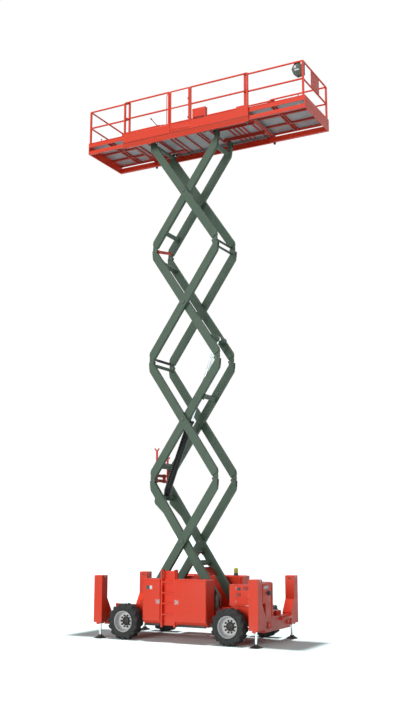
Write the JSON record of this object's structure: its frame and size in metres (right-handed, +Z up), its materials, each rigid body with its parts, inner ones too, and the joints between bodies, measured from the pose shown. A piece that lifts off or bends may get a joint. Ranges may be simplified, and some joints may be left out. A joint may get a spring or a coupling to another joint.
{
  "type": "scissor lift",
  "caption": "Wheeled rough-terrain scissor lift: stacked crossed arms raised by a lift cylinder carry a railed deck with roll-out extensions above a chassis with jacks.",
  "frame": {"origin": "on the ground, under the middle of the machine's overall box, which is the middle of the extended platform", "axes": "+X towards the steered end and the long deck extension, -Y the side with the ladder and the gate, +Z up"},
  "size_m": [6.37, 2.3498, 13.9425],
  "materials": {
    "red_paint": "orange-red machine enamel",
    "grey_green_paint": "grey-green enamel",
    "black_paint": "black enamel",
    "tyre": "tread rubber",
    "rim": "silver-white wheel enamel",
    "chrome": "hard chrome",
    "deck_panel": "grey deck plate",
    "dark_plastic": "dark moulded plastic",
    "steel": "bare steel"
  },
  "bodies": {
    "chassis": {"chassis_frame": "red_paint", "left_outrigger_beam": "red_paint", "right_outrigger_beam": "red_paint", "near_tray": "red_paint", "far_tray": "red_paint", "entry_ladder": "red_paint", "engine_block": "black_paint", "wheel_hoods": "red_paint", "end_cabinet": "red_paint", "fixed_axle": "black_paint", "steer_axle": "black_paint"},
    "bottom_left_shoes": {"bottom_left_shoes": "steel"},
    "bottom_right_shoes": {"bottom_right_shoes": "steel"},
    "top_left_shoes": {"top_left_shoes": "steel"},
    "top_right_shoes": {"top_right_shoes": "steel"},
    "arms_a1": {"arms_a1": "grey_green_paint"},
    "arms_b1": {"arms_b1": "grey_green_paint", "safety_prop": "red_paint"},
    "arms_a2": {"arms_a2": "grey_green_paint"},
    "arms_b2": {"arms_b2": "grey_green_paint"},
    "arms_a3": {"arms_a3": "grey_green_paint"},
    "arms_b3": {"arms_b3": "grey_green_paint"},
    "arms_a4": {"arms_a4": "grey_green_paint"},
    "arms_b4": {"arms_b4": "grey_green_paint"},
    "platform": {"deck_frame": "red_paint", "deck_floor": "deck_panel", "deck_rails": "red_paint"},
    "left_extension": {"left_extension": "red_paint"},
    "right_extension": {"right_extension": "red_paint", "control_box": "dark_plastic"},
    "gate": {"gate": "red_paint"},
    "lift_barrel": {"lift_barrel": "black_paint"},
    "lift_rod": {"lift_rod": "chrome"},
    "left_near_jack": {"left_near_jack": "chrome"},
    "left_near_wheel": {"left_near_tyre": "tyre", "left_near_rim": "rim"},
    "left_far_jack": {"left_far_jack": "chrome"},
    "left_far_wheel": {"left_far_tyre": "tyre", "left_far_rim": "rim"},
    "right_near_jack": {"right_near_jack": "chrome"},
    "right_near_wheel": {"right_near_tyre": "tyre", "right_near_rim": "rim"},
    "right_far_jack": {"right_far_jack": "chrome"},
    "right_far_wheel": {"right_far_tyre": "tyre", "right_far_rim": "rim"},
    "near_knuckle": {"near_knuckle": "black_paint"},
    "far_knuckle": {"far_knuckle": "black_paint"},
    "near_left_door": {"near_left_door": "red_paint"},
    "near_right_door": {"near_right_door": "red_paint"},
    "far_left_door": {"far_left_door": "red_paint"},
    "far_right_door": {"far_right_door": "red_paint"}
  },
  "joints": [
    {"name": "left_foot_slide", "type": "slide", "parent": "chassis", "child": "bottom_left_shoes", "axis": [-1, 0, 0], "range_m": [0, 0.8546]},
    {"name": "mast_fold", "type": "hinge", "parent": "bottom_left_shoes", "child": "arms_a1", "pos_m": [-1.23, 0, 0.806], "axis": [0, 1, 0], "range_deg": [0, 55]},
    {"name": "level_1_cross", "type": "hinge", "parent": "arms_a1", "child": "arms_b1", "pos_m": [-0.3565, 0, 2.3015], "axis": [0, 1, 0], "range_deg": [-110.1, 0]},
    {"name": "level_1_left_knee", "type": "hinge", "parent": "arms_b1", "child": "arms_a2", "pos_m": [-1.23, 0, 3.797], "axis": [0, 1, 0], "range_deg": [0, 110.1]},
    {"name": "level_2_cross", "type": "hinge", "parent": "arms_a2", "child": "arms_b2", "pos_m": [-0.3565, 0, 5.2925], "axis": [0, 1, 0], "range_deg": [-110.1, 0]},
    {"name": "level_2_left_knee", "type": "hinge", "parent": "arms_b2", "child": "arms_a3", "pos_m": [-1.23, 0, 6.788], "axis": [0, 1, 0], "range_deg": [0, 110.1]},
    {"name": "level_3_cross", "type": "hinge", "parent": "arms_a3", "child": "arms_b3", "pos_m": [-0.3565, 0, 8.2835], "axis": [0, 1, 0], "range_deg": [-110.1, 0]},
    {"name": "level_3_left_knee", "type": "hinge", "parent": "arms_b3", "child": "arms_a4", "pos_m": [-1.23, 0, 9.779], "axis": [0, 1, 0], "range_deg": [0, 110.1]},
    {"name": "level_4_cross", "type": "hinge", "parent": "arms_a4", "child": "arms_b4", "pos_m": [-0.3565, 0, 11.2745], "axis": [0, 1, 0], "range_deg": [-110.1, 0]},
    {"name": "right_foot_pivot", "type": "hinge", "parent": "arms_b1", "child": "bottom_right_shoes", "pos_m": [0.517, 0, 0.806], "axis": [0, 1, 0], "range_deg": [0, 55.05]},
    {"name": "top_left_pivot", "type": "hinge", "parent": "arms_b4", "child": "top_left_shoes", "pos_m": [-1.23, 0, 12.77], "axis": [0, 1, 0], "range_deg": [0, 55.05]},
    {"name": "top_right_pivot", "type": "hinge", "parent": "arms_a4", "child": "top_right_shoes", "pos_m": [0.517, 0, 12.77], "axis": [0, 1, 0], "range_deg": [-55.05, 0]},
    {"name": "platform_slide", "type": "slide", "parent": "top_left_shoes", "child": "platform", "axis": [1, 0, 0], "range_m": [0, 0.8546]},
    {"name": "lift_barrel_pivot", "type": "hinge", "parent": "arms_b1", "child": "lift_barrel", "pos_m": [-1.13836, 0, 3.38104], "axis": [0, 1, 0], "range_deg": [0, 109.99]},
    {"name": "lift_rod_slide", "type": "slide", "parent": "lift_barrel", "child": "lift_rod", "axis": [0.3564, 0, 0.9343], "range_m": [-1.6326, 0]},
    {"name": "left_extension_slide", "type": "slide", "parent": "platform", "child": "left_extension", "axis": [1, 0, 0], "range_m": [0, 0.9]},
    {"name": "right_extension_slide", "type": "slide", "parent": "platform", "child": "right_extension", "axis": [-1, 0, 0], "range_m": [0, 1.05]},
    {"name": "gate_swing", "type": "hinge", "parent": "platform", "child": "gate", "pos_m": [-0.574, -0.8575, 13.38], "axis": [0, 0, 1], "range_deg": [0, 90]},
    {"name": "left_near_jack_lift", "type": "slide", "parent": "chassis", "child": "left_near_jack", "axis": [0, 0, 1], "range_m": [0, 0.25]},
    {"name": "left_far_jack_lift", "type": "slide", "parent": "chassis", "child": "left_far_jack", "axis": [0, 0, 1], "range_m": [0, 0.25]},
    {"name": "right_near_jack_lift", "type": "slide", "parent": "chassis", "child": "right_near_jack", "axis": [0, 0, 1], "range_m": [0, 0.25]},
    {"name": "right_far_jack_lift", "type": "slide", "parent": "chassis", "child": "right_far_jack", "axis": [0, 0, 1], "range_m": [0, 0.25]},
    {"name": "left_near_wheel_spin", "type": "hinge", "parent": "chassis", "child": "left_near_wheel", "pos_m": [-1.655, -0.978, 0.42], "axis": [0, 1, 0], "continuous": true},
    {"name": "left_far_wheel_spin", "type": "hinge", "parent": "chassis", "child": "left_far_wheel", "pos_m": [-1.655, 0.978, 0.42], "axis": [0, 1, 0], "continuous": true},
    {"name": "steering", "type": "hinge", "parent": "chassis", "child": "near_knuckle", "pos_m": [1.145, -0.86, 0.42], "axis": [0, 0, 1], "range_deg": [-30, 30]},
    {"name": "right_near_wheel_spin", "type": "hinge", "parent": "near_knuckle", "child": "right_near_wheel", "pos_m": [1.145, -0.978, 0.42], "axis": [0, 1, 0], "continuous": true},
    {"name": "far_steering", "type": "hinge", "parent": "chassis", "child": "far_knuckle", "pos_m": [1.145, 0.86, 0.42], "axis": [0, 0, 1], "range_deg": [-30.1, 30.1]},
    {"name": "right_far_wheel_spin", "type": "hinge", "parent": "far_knuckle", "child": "right_far_wheel", "pos_m": [1.145, 0.978, 0.42], "axis": [0, 1, 0], "continuous": true},
    {"name": "near_left_door_swing", "type": "hinge", "parent": "chassis", "child": "near_left_door", "pos_m": [-1.08, -1.112, 0.95], "axis": [0, 0, 1], "range_deg": [-90, 0]},
    {"name": "near_right_door_swing", "type": "hinge", "parent": "chassis", "child": "near_right_door", "pos_m": [0.61, -1.112, 0.95], "axis": [0, 0, 1], "range_deg": [0, 90]},
    {"name": "far_left_door_swing", "type": "hinge", "parent": "chassis", "child": "far_left_door", "pos_m": [-1.08, 1.112, 0.95], "axis": [0, 0, 1], "range_deg": [0, 90]},
    {"name": "far_right_door_swing", "type": "hinge", "parent": "chassis", "child": "far_right_door", "pos_m": [0.61, 1.112, 0.95], "axis": [0, 0, 1], "range_deg": [-90, 0]}
  ],
  "couplings": [
    {"joint": "left_foot_slide", "follows": "mast_fold", "m_per_rad": 0.88824},
    {"joint": "level_1_cross", "follows": "mast_fold", "ratio": -2},
    {"joint": "level_1_left_knee", "follows": "mast_fold", "ratio": 2},
    {"joint": "level_2_cross", "follows": "mast_fold", "ratio": -2},
    {"joint": "level_2_left_knee", "follows": "mast_fold", "ratio": 2},
    {"joint": "level_3_cross", "follows": "mast_fold", "ratio": -2},
    {"joint": "level_3_left_knee", "follows": "mast_fold", "ratio": 2},
    {"joint": "level_4_cross", "follows": "mast_fold", "ratio": -2},
    {"joint": "right_foot_pivot", "follows": "mast_fold", "ratio": 1},
    {"joint": "top_left_pivot", "follows": "mast_fold", "ratio": 1},
    {"joint": "top_right_pivot", "follows": "mast_fold", "ratio": -1},
    {"joint": "platform_slide", "follows": "mast_fold", "m_per_rad": 0.88824},
    {"joint": "lift_barrel_pivot", "follows": "mast_fold", "ratio": 1.9962},
    {"joint": "lift_rod_slide", "follows": "mast_fold", "m_per_rad": -1.6987},
    {"joint": "far_steering", "follows": "steering", "ratio": 1}
  ]
}
